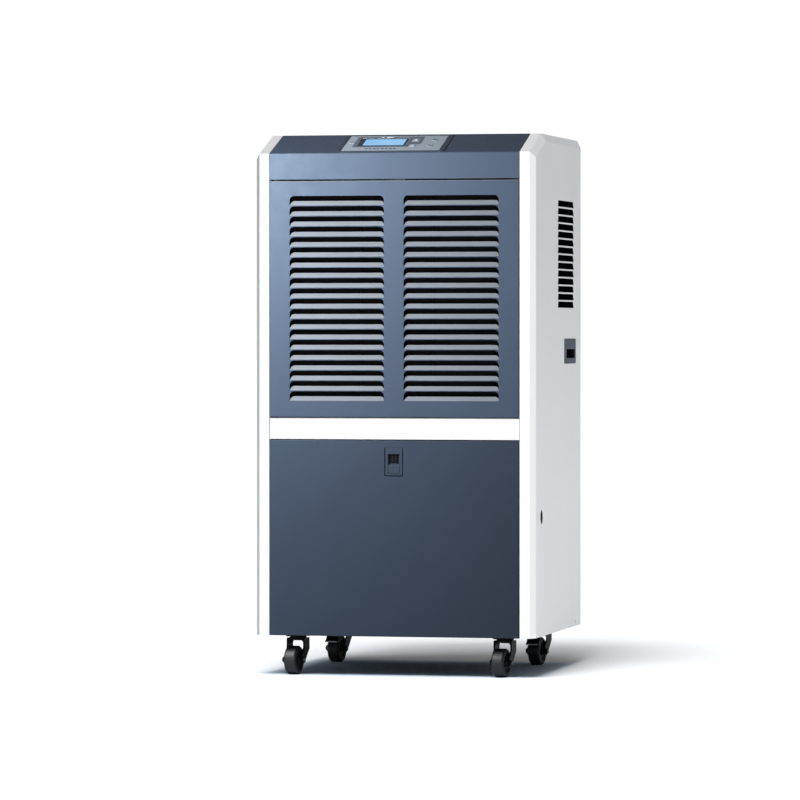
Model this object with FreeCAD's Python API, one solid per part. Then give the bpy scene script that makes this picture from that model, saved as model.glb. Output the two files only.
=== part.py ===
import FreeCAD, Part
import math
import os
from FreeCAD import Vector

# Commercial dehumidifier on casters. Millimetres, +Z up, front face towards -Y,
# +X to the right of someone facing the front. Parts are modelled with Y = 0 at the
# front face and written half the depth further forward, so the origin is on the
# floor under the middle of the cabinet.

# ---- driving dimensions ----
WIDTH, DEPTH, HEIGHT = 500.0, 450.0, 950.0
SIDE_X = WIDTH / 2                   # outer face of the right side panel
CAB_Z = 70.0                         # underside of the cabinet
SHEET = 1.5                          # sheet-metal thickness
HEADER_Z = 915.0                     # top of the vertical header
SLOPE_RUN = 100.0                    # depth of the sloped control fascia
SLOPE_RISE = HEIGHT - HEADER_Z
STRIP_X = 223.8                      # inner edge of the side panels' front strips
DARK_X = 223.0                       # half width of the dark front panels
RETURN = 12.0                        # depth of the dark panels' returns
BAND_Z0, BAND_Z1 = 413.5, 452.0      # white cross band
GRILLE_Z1 = 868.0                    # top of the louvred grille
GAP = 0.8                            # half of a panel gap

# ---- positions shared by several parts ----
HOSE_Y, HOSE_Z, HOSE_R = 68.0, 278.5, 13.0       # drain opening in the right side
SCREW_Y, SCREW_Z = 386.0, 78.0                   # side panel screws
REAR_SCREW_X, REAR_SCREW_ZS = 214, (100, 380, 640, 900)
PIN_X, PIN_ZS = 216, (475, 845)                  # grille locating pins
SHELF_Z = 451.5                                  # top of the middle shelf
SPOUTS = ((150, 60), (-100, 100))                # drip tray spouts, (x, y)
CASTER_X, CASTER_FRONT_Y, CASTER_REAR_Y = 186.0, 59.0, 388.0
CASTERS = {
    "front_left": (-CASTER_X, CASTER_FRONT_Y), "front_right": (CASTER_X, CASTER_FRONT_Y),
    "rear_left": (-CASTER_X, CASTER_REAR_Y), "rear_right": (CASTER_X, CASTER_REAR_Y),
}
FAN_Z = 668.0
TUBE_R, TUBE_COUNT, TUBE_PITCH, TUBE_Z0 = 4.75, 10, 36.0, 496.0
TUBE_Z1 = TUBE_Z0 + (TUBE_COUNT - 1) * TUBE_PITCH
STUB_X = 200                                     # open ends of the coil tubes
EVAP_Y, COND_Y = 56.0, 114.0                     # evaporator and condenser tube planes

X_DIR, Y_DIR, Z_DIR = (1, 0, 0), (0, 1, 0), (0, 0, 1)
SIDES = (1, -1)                                  # right, left

os.makedirs("parts", exist_ok=True)


# ---- helpers ----
def box(x0, x1, y0, y1, z0, z1):
    return Part.makeBox(x1 - x0, y1 - y0, z1 - z0, Vector(x0, y0, z0))


def cyl(radius, length, start, direction=Z_DIR):
    return Part.makeCylinder(radius, length, Vector(*start), Vector(*direction))


def span(side, near, far):
    """Ascending X range between two distances from the middle, on one side."""
    return sorted((side * near, side * far))


def around(x, y, half_x, half_y):
    return x - half_x, x + half_x, y - half_y, y + half_y


def grow(rect, margin):
    a0, a1, b0, b1 = rect
    return a0 - margin, a1 + margin, b0 - margin, b1 + margin


def fuse(items):
    items = list(items)
    joined = items[0] if len(items) == 1 else items[0].multiFuse(items[1:])
    return joined.removeSplitter()


def emit(name, *shapes):
    """Write all the solids of the shapes as one STEP file."""
    found = [solid for shape in shapes for solid in (shape.Solids or [shape])]
    part = found[0] if len(found) == 1 else Part.makeCompound(found)
    part = part.copy()
    part.translate(Vector(0, -DEPTH / 2, 0))
    part.exportStep(os.path.join("parts", name + ".step"))


def mirror(shape):
    return shape.mirror(Vector(0, 0, 0), Vector(1, 0, 0))


def turn(shape, axis, degrees):
    shape.rotate(Vector(0, 0, 0), Vector(*axis), degrees)


def fillet(shape, radius, pick):
    """Round the edges that pick accepts."""
    edges = [e for e in shape.Edges if pick(e)]
    if not edges:
        return shape
    # The kernel can refuse a radius on short edges; the shape then stays sharp.
    try:
        rounded = shape.makeFillet(radius, edges)
        if rounded.isValid() and rounded.Solids:
            return rounded.Solids[0] if len(rounded.Solids) == 1 else rounded
    except Exception:
        pass
    return shape


# Edge selectors: by direction, by centre coordinate and by length.
def along(axis):
    def pick(e):
        d = e.Vertexes[-1].Point - e.Vertexes[0].Point
        if d.Length < 1e-6:
            return False
        d.normalize()
        return abs(abs(d.dot(Vector(*axis))) - 1) < 1e-6
    return pick


def at_x(x):
    return lambda e: abs(e.CenterOfMass.x - x) < 1e-6


def at_y(y):
    return lambda e: abs(e.CenterOfMass.y - y) < 1e-6


def at_z(z):
    return lambda e: abs(e.CenterOfMass.z - z) < 1e-6


def longer(length):
    return lambda e: e.Length > length


def along_above(axis, z):
    return lambda e: along(axis)(e) and e.CenterOfMass.z > z


def plate(x0, x1, y0, y1, z0, z1, radius, axis):
    """Box with its edges along the axis rounded."""
    return fillet(box(x0, x1, y0, y1, z0, z1), radius, along(axis))


def polygon(points):
    points = [Vector(*p) for p in points]
    return Part.Face(Part.makePolygon(points + [points[0]]))


def extrude(points, vector):
    return polygon(points).extrude(Vector(*vector))


def profile(front, slope, top, rear, bottom):
    """Side outline (y, z) of the cabinet, inset by the first four; bottom is a height."""
    length = math.hypot(SLOPE_RUN, SLOPE_RISE)
    cos, sin = SLOPE_RUN / length, SLOPE_RISE / length
    slope_z = HEADER_Z - slope / cos + (sin / cos) * front
    slope_y = (HEIGHT - top - HEADER_Z + slope / cos) * cos / sin
    back = DEPTH - rear
    return [(front, bottom), (front, slope_z), (slope_y, HEIGHT - top), (back, HEIGHT - top),
            (back, bottom)]


def loft(x0, outline0, x1, outline1):
    """Flat-faced solid between two like outlines (y, z) at two X planes."""
    a = [(x0, y, z) for y, z in outline0]
    b = [(x1, y, z) for y, z in outline1]
    faces = [polygon(a), polygon(b)]
    for i in range(len(a)):
        j = (i + 1) % len(a)
        faces.append(polygon([a[i], a[j], b[j], b[i]]))
    solid = Part.makeSolid(Part.makeShell(faces))
    if solid.Volume < 0:
        solid.reverse()
    return solid


def tube(points, radius, bend, bore=0.0):
    """Round bar or tube swept along a path with rounded bends."""
    path = [Vector(*p) for p in points]
    edges, current = [], path[0]
    for before, corner, after in zip(path, path[1:], path[2:]):
        back, ahead = before - corner, after - corner
        back.normalize()
        ahead.normalize()
        angle = back.getAngle(ahead)
        setback = bend / math.tan(angle / 2)
        start, end = corner + back * setback, corner + ahead * setback
        inward = back + ahead
        inward.normalize()
        centre = corner + inward * (bend / math.sin(angle / 2))
        edges.append(Part.LineSegment(current, start).toShape())
        edges.append(Part.Arc(start, centre - inward * bend, end).toShape())
        current = end
    edges.append(Part.LineSegment(current, path[-1]).toShape())
    wire = Part.Wire(edges)

    def sweep(r):
        section = Part.Wire([Part.Circle(path[0], path[1] - path[0], r).toShape()])
        return wire.makePipeShell([section], True, False)
    swept = sweep(radius)
    return swept.cut(sweep(bore)) if bore else swept


def front_pan(z0, z1):
    """Dark-width front sheet with returns on all four sides."""
    pan = fillet(box(-DARK_X, DARK_X, 0, RETURN, z0, z1), 1.2, at_y(0))
    inner_x = DARK_X - SHEET
    return pan.cut(box(-inner_x, inner_x, SHEET, RETURN + 1, z0 + SHEET, z1 - SHEET))


def slot_cutter(x0, x1, z, height, radius):
    cutter = box(x0, x1, -1, 3, z, z + height)
    return fillet(cutter, radius, along_above(Y_DIR, z + height - 1e-6))


def slat(x0, x1, z, reach, rise, taper, radius):
    """Louvre blade: joined along its lower edge, leaning back and up."""
    width = math.hypot(reach, rise)
    outline = [(x0, 0, 0), (x1, 0, 0), (x1 - taper, width, 0), (x0 + taper, width, 0)]
    blade = extrude(outline, (0, 0, -1.2))
    blade = fillet(blade, radius,
                   lambda e: e.CenterOfMass.y > width - 1e-6 and along(Z_DIR)(e))
    turn(blade, X_DIR, math.degrees(math.atan2(rise, reach)))
    blade.translate(Vector(0, 0.35, z + 0.3))
    return blade


def louvres(count, z_first, pitch, x_range, height, radius, blade):
    """Slot cutters and blades in two columns, from the top down."""
    cutters, blades = [], []
    for i in range(count):
        z = z_first - i * pitch
        for side in SIDES:
            x0, x1 = span(side, *x_range)
            cutters.append(slot_cutter(x0, x1, z, height, radius))
            blades.append(slat(x0, x1, z, **blade))
    return cutters, blades


# ---- side panels and their recessed handles ----
EDGE_X = 241.5                       # where the corner chamfer starts
CHAMFER, CHAMFER_REAR = 14.0, 11.0   # chamfer depth at front and top, and at the rear
HEM = 14.0                           # depth of the panel's inner return
VENT_COUNT, VENT_Z0, VENT_PITCH, VENT_H = 14, 645.0, 13.85, 11.1
VENT_Y0, VENT_Y1 = 216.5, 377.0
HANDLE = (277.0, 391.5, 545.0, 590.0)            # opening, y0, y1, z0, z1


def side_panel():
    """Right side panel without the drain opening."""
    square = profile(0, 0, 0, 0, CAB_Z)
    chamfered = profile(CHAMFER, CHAMFER, CHAMFER, CHAMFER_REAR, CAB_Z)
    outer = loft(STRIP_X, square, EDGE_X, square)
    outer = outer.fuse(loft(EDGE_X, chamfered and square, SIDE_X, chamfered)).removeSplitter()

    def face_bend(e):
        a, b = e.Vertexes[0].Point, e.Vertexes[-1].Point
        bottom = min(a.z, b.z) <= CAB_Z + 1e-6 and abs(a.z - b.z) < 1e-6
        return abs(a.x - b.x) <= 1e-6 and not bottom and abs(a.x - SIDE_X) < 1e-6
    panel = fillet(outer, 1.5, face_bend)

    # hollow it, running below the cabinet to leave the bottom open
    below = CAB_Z - 10
    sheet = profile(SHEET, SHEET, SHEET, SHEET, below)
    sloping = profile(14.45, 14.45, 14.45, 11.5, below)
    hem = profile(HEM, HEM, HEM, HEM, below)
    edge_inner = EDGE_X - 0.84
    panel = panel.cut(loft(STRIP_X + SHEET, sheet, edge_inner, sheet))
    panel = panel.cut(loft(edge_inner, sheet, SIDE_X - SHEET, sloping))
    panel = panel.cut(loft(STRIP_X - 1, hem, STRIP_X + SHEET + 0.1, hem))

    vents = []
    x = SIDE_X - 4
    for i in range(VENT_COUNT):
        z = VENT_Z0 + i * VENT_PITCH
        top = z + VENT_H
        vent = extrude([(x, VENT_Y0, z), (x, VENT_Y1, z), (x, VENT_Y1 - 7, top),
                        (x, VENT_Y0 + 5, top)], (8, 0, 0))
        vents.append(fillet(vent, 2.5, along_above(X_DIR, top - 0.1)))
    panel = panel.cut(Part.makeCompound(vents))
    panel = panel.cut(plate(x, SIDE_X + 4, *HANDLE, 3.0, X_DIR))
    return panel.cut(Part.makeCone(2.3, 3.9, SHEET + 0.002,
                                   Vector(SIDE_X - SHEET - 0.001, SCREW_Y, SCREW_Z),
                                   Vector(*X_DIR)))


def side_handle():
    back = SIDE_X - SHEET
    face = plate(back, SIDE_X, *grow(HANDLE, -0.25), 2.8, X_DIR)
    face = fillet(face, 0.8, at_x(SIDE_X))
    flange = plate(back - 2, back, *grow(HANDLE, 4), 4, X_DIR)
    cup = plate(SIDE_X - 38, SIDE_X - 3, 297, 387, 551, 587, 5, X_DIR)
    mouth = plate(SIDE_X - 35.5, SIDE_X + 1, 301, 383, 555, 571, 3, X_DIR)
    pocket = plate(SIDE_X - 35.5, SIDE_X - 6, 300, 384, 554.5, 584, 4, X_DIR)
    return fuse([face, flange, cup]).cut(mouth).cut(pocket)


panel = side_panel()
emit("side_panel_left", mirror(panel))
emit("side_panel_right", panel.cut(cyl(HOSE_R, 8, (SIDE_X - 4, HOSE_Y, HOSE_Z), X_DIR)))
handle = side_handle()
emit("side_handle_right", handle)
emit("side_handle_left", mirror(handle))

# ---- sloped fascia: rectangles are (x0, x1, lower, upper up the slope) ----
BEZEL = (-104.0, 88.5, 3.0, 101.0)
FACE = (-97, 79, 8, 96)
LCD = (-74.0, 12.0, 36.0, 84.0)
KEYS = {"key_power": (-87.0, 58.0), "key_mode": (25.5, 69.0), "key_timer": (25.5, 37.0),
        "key_up": (58.0, 71.0), "key_down": (56.0, 37.0)}
KEY_HALF = (5.5, 4.5)


def to_slope(shape):
    """From fascia coordinates (x, up the slope, height off it) to the cabinet."""
    shape = shape.copy()
    turn(shape, X_DIR, math.degrees(math.atan2(SLOPE_RISE, SLOPE_RUN)))
    shape.translate(Vector(0, 0, HEADER_Z))
    return shape


def top_cover():
    """Header, sloped fascia, flat top and rear lip in one sheet."""
    def prism(x, outline):
        return loft(-x, outline, x, outline)
    bottom = GRILLE_Z1 + GAP
    cover = prism(DARK_X, profile(0, 0, 0, 0, bottom))
    cover = fillet(cover, 2.0, along_above(X_DIR, HEADER_Z - 1))
    cover = cover.cut(prism(DARK_X - SHEET, profile(SHEET, SHEET, SHEET, SHEET, bottom + SHEET)))
    cover = cover.cut(prism(DARK_X + 1, profile(RETURN, RETURN, RETURN, RETURN, CAB_Z)))
    cover = cover.cut(box(-230, 230, DEPTH - 20, DEPTH + 5, 860, HEIGHT - RETURN))
    return cover.cut(to_slope(box(*grow(BEZEL, -1.6), -20, 5)))


def control_bezel():
    rim = fillet(plate(*BEZEL, 0, 1.0, 3.0, Z_DIR), 0.6, at_z(1.0))
    bezel = fuse([rim, box(*grow(BEZEL, -2), -10, 0)])
    bezel = bezel.cut(box(*grow(FACE, 0.2), -0.6, 2))
    bezel = bezel.cut(box(*grow(FACE, -3), -11, 1))
    posts = [cyl(3, 18, (x, y, -18)) for x, y in ((-98, 9), (80.5, 9), (-98, 95), (80.5, 95))]
    above_posts = box(-200, 200, -50, 200, -9.9, 5)
    return fuse([bezel] + [post.cut(above_posts) for post in posts])


def control_faceplate():
    face = fillet(plate(*FACE, -0.6, 0.6, 1.5, Z_DIR), 0.3, at_z(0.6))
    face = face.cut(box(*LCD, -2, 2))
    for x, y in KEYS.values():
        face = face.cut(plate(*grow(around(x, y, *KEY_HALF), 0.3), -2, 2, 1.8, Z_DIR))
    return face


def key(x, y):
    """Key cap with a flange beneath and a stem down to the board."""
    outline = around(x, y, *KEY_HALF)
    cap = fillet(plate(*outline, -4, 1.2, 1.6, Z_DIR), 0.5, at_z(1.2))
    return fuse([cap, box(*grow(outline, 1), -4, -2.6), cyl(2, 10.2, (x, y, -14.2))])


def control_board():
    top = -18
    board = [box(-101, 84, 6, 98, -19.6, top), box(-60, -30, 45, 75, top, -15.5),
             box(-20, 0, 50, 70, top, -16), box(64, 74, 15, 60, top, -11)]
    return fuse(board + [cyl(2.6, 2.5, (x, y, top)) for x, y in KEYS.values()])


emit("top_cover", top_cover())
emit("control_bezel", to_slope(control_bezel()))
emit("control_faceplate", to_slope(control_faceplate()))
emit("lcd_screen", to_slope(fillet(box(*grow(LCD, -0.2), -4, 0.3), 0.25, at_z(0.3))))
for name, centre in KEYS.items():
    emit(name, to_slope(key(*centre)))
emit("control_board", to_slope(control_board()))


# ---- white cross band, louvred grille and air filter ----
def cross_band():
    tabs = [box(*span(side, 150, 170), 1, 15, 427, 440) for side in SIDES]
    return fuse([front_pan(BAND_Z0 + GAP, BAND_Z1 - GAP)] + tabs)


def front_grille():
    grille = front_pan(BAND_Z1 + GAP, GRILLE_Z1 - GAP - 1.0)
    cutters, blades = louvres(
        count=20, z_first=840.0 - 16.6, pitch=18.0, x_range=(17.5, 187.0), height=16.6,
        radius=8.0, blade=dict(reach=6.2, rise=7.6, taper=2.4, radius=7.0))
    grille = grille.cut(Part.makeCompound(cutters))
    pins = [cyl(3, 20.5, (side * PIN_X, 1, z), Y_DIR) for side in SIDES for z in PIN_ZS]
    return fuse([grille] + blades + pins)


FILTER_X, FILTER_Z0, FILTER_Z1 = 193, 476, 844   # opening of the filter frame


def filter_frame():
    """Rim with two bars each way and three studs on each side."""
    rim, y0, y1 = 12, 12.0, 14.0
    outer_x = FILTER_X + rim
    ring = plate(-outer_x, outer_x, y0, 19.0, FILTER_Z0 - rim, FILTER_Z1 + rim, 6, Y_DIR)
    ring = ring.cut(box(-FILTER_X, FILTER_X, 11, 20, FILTER_Z0, FILTER_Z1))
    bars = [box(-FILTER_X, FILTER_X, y0, y1, z, z + 4) for z in (598, 720)]
    bars += [box(x, x + 4, y0, y1, FILTER_Z0, FILTER_Z1) for x in (-66, 62)]
    studs = [box(*span(side, outer_x, outer_x + 16.6), y0, y1, z, z + 14)
             for side in SIDES for z in (500, 654, 810)]
    return fuse([ring] + bars + studs)


emit("cross_band", cross_band())
emit("front_grille", front_grille())
emit("filter_frame", filter_frame())
emit("filter_mesh", box(-FILTER_X + 0.2, FILTER_X - 0.2, 14.6, 16.0,
                        FILTER_Z0 + 0.2, FILTER_Z1 - 0.2))


# ---- base pan, welded frame, shelf ----
def base_pan():
    base = fuse([box(-248, 248, 14.6, 435.2, CAB_Z, CAB_Z + SHEET)]
                + [box(*span(side, 246.5, 248), 16, 435.2, CAB_Z, 98) for side in SIDES])
    for x, y in CASTERS.values():
        base = base.cut(cyl(9, 5, (x, y, CAB_Z - 1)))
    for side in SIDES:
        base = base.cut(cyl(2.2, 8, (side * 248 - 4, SCREW_Y, SCREW_Z), X_DIR))
    return base


# x0, x1, y0, y1, z0, z1 of the members on the right side
FRAME_SIDE = (
    (212, 238, 15, 17, 71.5, 892), (236, 238, 15, 45, 71.5, 892),        # front upright
    (212, 238, 433, 435, 71.5, 925), (236, 238, 405, 435, 71.5, 925),    # rear upright
    (236, 238, 17, 433, 866, 892), (236, 238, 17, 433, 424, 450),        # side rails
)
# y0, y1, z0, z1 of the members across the front and rear
FRAME_CROSS = ((15, 17, 424, 450), (15, 17, 872, 892), (433, 435, 424, 450),
               (433, 435, 905, 925))


def cabinet_frame():
    members = [box(*span(side, x0, x1), *yz) for side in SIDES for x0, x1, *yz in FRAME_SIDE]
    frame = fuse(members + [box(-212, 212, *yz) for yz in FRAME_CROSS])
    for side in SIDES:
        for z in PIN_ZS:
            frame = frame.cut(cyl(3.08, 8, (side * PIN_X, 12, z), Y_DIR))
        for z in REAR_SCREW_ZS:
            frame = frame.cut(cyl(2.1, 8, (side * REAR_SCREW_X, 430, z), Y_DIR))
    return frame


def mid_shelf():
    """Shelf with holes for the two spouts and two refrigerant pipes."""
    shelf = box(-235.5, 235.5, 17.5, 432.5, SHELF_Z - SHEET, SHELF_Z)
    for x, y, radius in [(*spout, 9) for spout in SPOUTS] + [(224, 190, 7), (222, EVAP_Y, 7)]:
        shelf = shelf.cut(cyl(radius, 10, (x, y, 445)))
    return shelf


emit("base_pan", base_pan())
emit("cabinet_frame", cabinet_frame())
emit("mid_shelf", mid_shelf())

# ---- rear panel, screws, cord tray and cord ----
REAR_Y = 447                                     # outer face of the rear panel
BAY_X0, BAY_X1, BAY_Z0, BAY_Z1 = -205.0, -35.0, 120.0, 330.0
BAY_X = (BAY_X0 + BAY_X1) / 2


def rear_panel():
    """Rear pan with outlet louvres and an opening for the cord tray."""
    panel = fillet(box(-222.6, 222.6, 435.5, REAR_Y, 71, 936), 1.2, at_y(REAR_Y))
    panel = panel.cut(box(-221.1, 221.1, 430, REAR_Y - SHEET, 72.5, 934.5))
    cutters, blades = louvres(
        count=14, z_first=862, pitch=20.0, x_range=(22, 190), height=15.5, radius=6.5,
        blade=dict(reach=7.0, rise=8.6, taper=2.0, radius=6.0))
    for shape in cutters + blades:
        turn(shape, Z_DIR, 180)
        shape.translate(Vector(0, REAR_Y, 0))
    panel = panel.cut(Part.makeCompound(cutters))
    panel = panel.cut(box(BAY_X0 - 0.3, BAY_X1 + 0.3, 440, 450, BAY_Z0 - 0.3, BAY_Z1 + 0.3))
    for side in SIDES:
        for z in REAR_SCREW_ZS:
            panel = panel.cut(cyl(2.1, 8, (side * REAR_SCREW_X, 443, z), Y_DIR))
    return fuse([panel] + blades)


def rear_screw(x, z):
    """Pan-head screw with a cross recess."""
    head = fillet(cyl(4, 2.2, (x, REAR_Y, z), Y_DIR), 1.2, at_y(REAR_Y + 2.2))
    for half_x, half_z in ((0.5, 2.4), (2.4, 0.5)):
        head = head.cut(box(x - half_x, x + half_x, 448.2, 450, z - half_z, z + half_z))
    return fuse([head, cyl(1.9, 18, (x, 429.5, z), Y_DIR)])


def side_screw():
    """Countersunk screw of the right side panel, with a cross recess."""
    head = Part.makeCone(2.0, 3.45, 1.4, Vector(248.6, SCREW_Y, SCREW_Z), Vector(*X_DIR))
    screw = fuse([head, cyl(2.0, 9, (239.6, SCREW_Y, SCREW_Z), X_DIR)])
    for half_y, half_z in ((0.5, 2.2), (2.2, 0.5)):
        screw = screw.cut(box(249.2, 251, *around(SCREW_Y, SCREW_Z, half_y, half_z)))
    return screw


def panel_screws():
    screws = []
    for side in SIDES:
        screws += [rear_screw(side * REAR_SCREW_X, z) for z in REAR_SCREW_ZS]
        screws.append(side_screw() if side > 0 else mirror(side_screw()))
    return screws


def cord_bay():
    """Open tray with a flange, two cord hooks and the cord hole."""
    flange = box(BAY_X0 - 7, BAY_X1 + 7, REAR_Y, 449, BAY_Z0 - 7, BAY_Z1 + 7)
    bay = fuse([box(BAY_X0, BAY_X1, 404, 448.5, BAY_Z0, BAY_Z1),
                fillet(flange, 4, along(Y_DIR))])
    bay = bay.cut(plate(BAY_X0 + 2, BAY_X1 - 2, 406, 460, BAY_Z0 + 2, BAY_Z1 - 2, 8, Y_DIR))
    hooks = []
    for z, lip_down, lip_up in ((160, 15, 4), (290, 4, 15)):
        hooks.append(box(BAY_X - 22, BAY_X + 22, 405, 446, z - 4, z + 4))
        hooks.append(box(BAY_X - 22, BAY_X + 22, 442.5, 446, z - lip_down, z + lip_up))
    return fuse([bay] + hooks).cut(cyl(6.5, 20, (BAY_X + 65, 400, 150), Y_DIR))


def power_cord():
    """Cord looped round the hooks, and its plug."""
    low, high, left, right = 149.0, 301.0, BAY_X - 34, BAY_X + 34
    cord = tube([(BAY_X + 66, 396, 150), (BAY_X + 66, 412, 150),
                 (right, 412, low), (left, 412, low), (left, 413, high), (right, 414, high),
                 (right, 420, low), (left, 420.5, low), (left, 421, high), (right, 422, high),
                 (right, 428, low), (left, 428.5, low), (left, 429, high), (right, 430, high),
                 (right, 435, 252)], 3.4, 12)
    plug = fillet(box(right - 15, right + 15, 423, 445, 212, 246), 5, along(Z_DIR))
    plug = fuse([plug, cyl(5, 7, (right, 434.6, 245.5))]).cut(cord)
    prongs = [cyl(2.4, 19, (right + offset, 434, 193.2)) for offset in (-9.5, 9.5)]
    return cord, fuse([plug] + prongs)


emit("rear_panel", rear_panel())
emit("panel_screws", *panel_screws())
emit("cord_bay", cord_bay())
emit("power_cord", *power_cord())

# ---- casters, modelled about their swivel axis and trailing towards the front ----
WHEEL_R, WHEEL_W, TRAIL = 25.0, 22.0, 22.0
LEG_IN, LEG_OUT = 14.0, 16.8         # fork legs, from the caster's middle plane
CASTER_YAW = -6.0                    # how the casters stand at rest, degrees
HINGE_Y, HINGE_Z = -11.5, 56         # brake pedal hinge
LEG_OUTLINE = ((13, 62.5), (13, 44), (-12, 20), (-18, 17), (-26, 17), (-30, 21), (-30, 29),
               (-14, 46), (-13, 62.5))           # y, z


def caster_plate(x, y):
    bolts = [cyl(3, 1.6, (x + dx, y + dy, 65.4)) for dx in (-15.5, 15.5) for dy in (-12.5, 12.5)]
    top = plate(*around(x, y, 20, 17), 67, CAB_Z, 4, Z_DIR)
    top = fuse([top, cyl(15, 2.5, (x, y, 64.5))] + bolts)
    return fillet(top, 1.0, at_z(64.5)).cut(cyl(4.08, 10, (x, y, 62)))


def axle_cyl(radius, length, x):
    return cyl(radius, length, (x, -TRAIL, WHEEL_R), X_DIR)


def caster_fork(brake):
    """Fork with its swivel pin and axle; a braked one has ears for the pedal hinge."""
    top = fillet(cyl(15, 3.5, (0, 0, 60.5)), 1.2, at_z(60.5))
    legs = []
    for side in SIDES:
        leg = extrude([(side * LEG_IN, y, z) for y, z in LEG_OUTLINE],
                      (side * (LEG_OUT - LEG_IN), 0, 0))
        legs.append(fillet(leg, 2.5, lambda e: along(X_DIR)(e) and e.CenterOfMass.z < 50))
        if not brake:
            arch = box(*span(side, LEG_IN - 8, LEG_IN + 0.5), -13, 13, 52.5, 61)
            legs.append(arch.cut(cyl(8, 30, (side * (LEG_IN - 8), -15, 52.5), Y_DIR)))
    deck = box(-LEG_OUT, LEG_OUT, -13, 13, 60.5, 63.0)
    pin = fuse([cyl(4, 15, (0, 0, 58)), cyl(6.5, 2.5, (0, 0, 70.4)), cyl(7, 2.5, (0, 0, 58.2))])
    axle = fuse([axle_cyl(3.0, 2 * LEG_OUT + 3, -LEG_OUT - 1.5), axle_cyl(5.2, 2.0, LEG_OUT),
                 axle_cyl(5.2, 2.0, -LEG_OUT - 2.0)])
    ears = []
    if brake:
        ears = [box(*span(side, LEG_IN, LEG_OUT), -17, -7, 51, 63) for side in SIDES]
    fork = fuse([top, deck, pin, axle] + legs + ears)
    if brake:
        fork = fork.cut(cyl(1.6, 40, (-20, HINGE_Y, HINGE_Z), X_DIR))
    return fork


def caster_wheel():
    core_r = 18.5
    tyre = fillet(axle_cyl(WHEEL_R, WHEEL_W, -WHEEL_W / 2), 4.0, longer(100))
    tyre = tyre.cut(axle_cyl(core_r, WHEEL_W + 2, -WHEEL_W / 2 - 1))
    hub = fuse([axle_cyl(core_r, WHEEL_W - 6, -WHEEL_W / 2 + 3),
                axle_cyl(6.5, 2 * LEG_IN - 0.6, -LEG_IN + 0.3)])
    return tyre, hub.cut(axle_cyl(3.06, 40, -20))


def brake_pedal():
    """Plate curved over the front of the wheel, with a turned-out lip and a hinge."""
    def arc(radius, angles):
        return [(-TRAIL + radius * math.cos(math.radians(angle)),
                 WHEEL_R + radius * math.sin(math.radians(angle))) for angle in angles]
    outline = (arc(29.8, (70, 85, 100, 115, 130, 142, 152)) + [(-53.2, 37.4), (-53.9, 39.7)]
               + arc(32.2, (149, 142, 130, 115, 100, 85, 70)))
    pedal = extrude([(-12, y, z) for y, z in outline], (24, 0, 0))
    pedal = fuse([pedal, cyl(3.4, 27, (-13.5, HINGE_Y, HINGE_Z), X_DIR),
                  box(-7, 7, -25.5, -18.5, 51.9, 56)])
    return pedal.fuse(cyl(1.53, 33, (-16.5, HINGE_Y, HINGE_Z), X_DIR))


emit("caster_plates", *[caster_plate(x, y) for x, y in CASTERS.values()])
for tag, (x, y) in CASTERS.items():
    brake = tag.startswith("rear")
    pieces = {"caster_fork_": [caster_fork(brake)], "caster_wheel_": caster_wheel()}
    if brake:
        pieces["brake_pedal_"] = [brake_pedal()]
    for name, shapes in pieces.items():
        for shape in shapes:
            turn(shape, Z_DIR, CASTER_YAW)
            shape.translate(Vector(x, y, 0))
        emit(name + tag, *shapes)


# ---- tank drawer ----
def drawer_front():
    front = front_pan(CAB_Z, BAND_Z0 - GAP)
    return front.cut(plate(-16.6, 16.6, -1, 3, 349.6, 399.9, 1.5, Y_DIR))


def drawer_tray():
    y0, y1, z = 12, 242, 92
    return fuse([box(-221.4, 221.4, y0, 13.5, 74, 340), box(-188.5, 188.5, y0, y1, z, z + SHEET),
                 box(187, 188.5, y0, y1, z, 168), box(-188.5, -187, y0, y1, z, 168),
                 box(-188.5, 188.5, y1 - SHEET, y1, z, 130)])


def latch_housing():
    z0, z1 = 346, 403.5
    face = fillet(plate(-16.25, 16.25, 0, 1.5, 350, 399.5, 1.2, Y_DIR), 0.5, at_y(0))
    housing = fuse([face, box(-20, 20, 1.5, 3, z0, z1)]
                   + [box(*span(side, 11.7, 14), 3, 9, z0, z1) for side in SIDES])
    return housing.cut(plate(-10.5, 10.5, -1, 4, 354, 389, 1.0, Y_DIR))


def latch_slider():
    tab = fillet(box(-10.2, 10.2, 0.3, 3.4, 354.4, 370), 0.6, at_y(0.3))
    slide = box(-11.4, 11.4, 3.2, 6, 350, 402).cut(box(-9, 9, 2, 8, 372, 388))
    return fuse([tab, slide, box(-5, 5, 5, 15, 391, 400), box(-5, 5, 13, 15, 391, 411)])


def rail(web_x, lip_x, y0, y1, z0, z1):
    """Right-hand channel: upright web and two lips reaching to lip_x."""
    web_x1 = web_x + SHEET
    x0, x1 = min(web_x, lip_x), max(web_x1, lip_x)
    return fuse([box(web_x, web_x1, y0, y1, z0, z1), box(x0, x1, y0, y1, z0, z0 + SHEET),
                 box(x0, x1, y0, y1, z1 - SHEET, z1)])


emit("drawer_front", drawer_front())
emit("drawer_tray", drawer_tray())
emit("latch_housing", latch_housing())
emit("latch_slider", latch_slider())
rails = {
    "inner": rail(188.5, 199, 18, 240, 139, 161),
    "mid": rail(201, 193, 18, 240, 134, 166),
    "fixed": fuse([rail(206, 197, 20, 242, 129, 171), box(207.5, 209, 20, 242, 71.5, 171),
                   box(209, 228, 20, 242, 71.5, 73)]),
}
for name, shape in rails.items():
    emit("drawer_rails_" + name, shape, mirror(shape))

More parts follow.
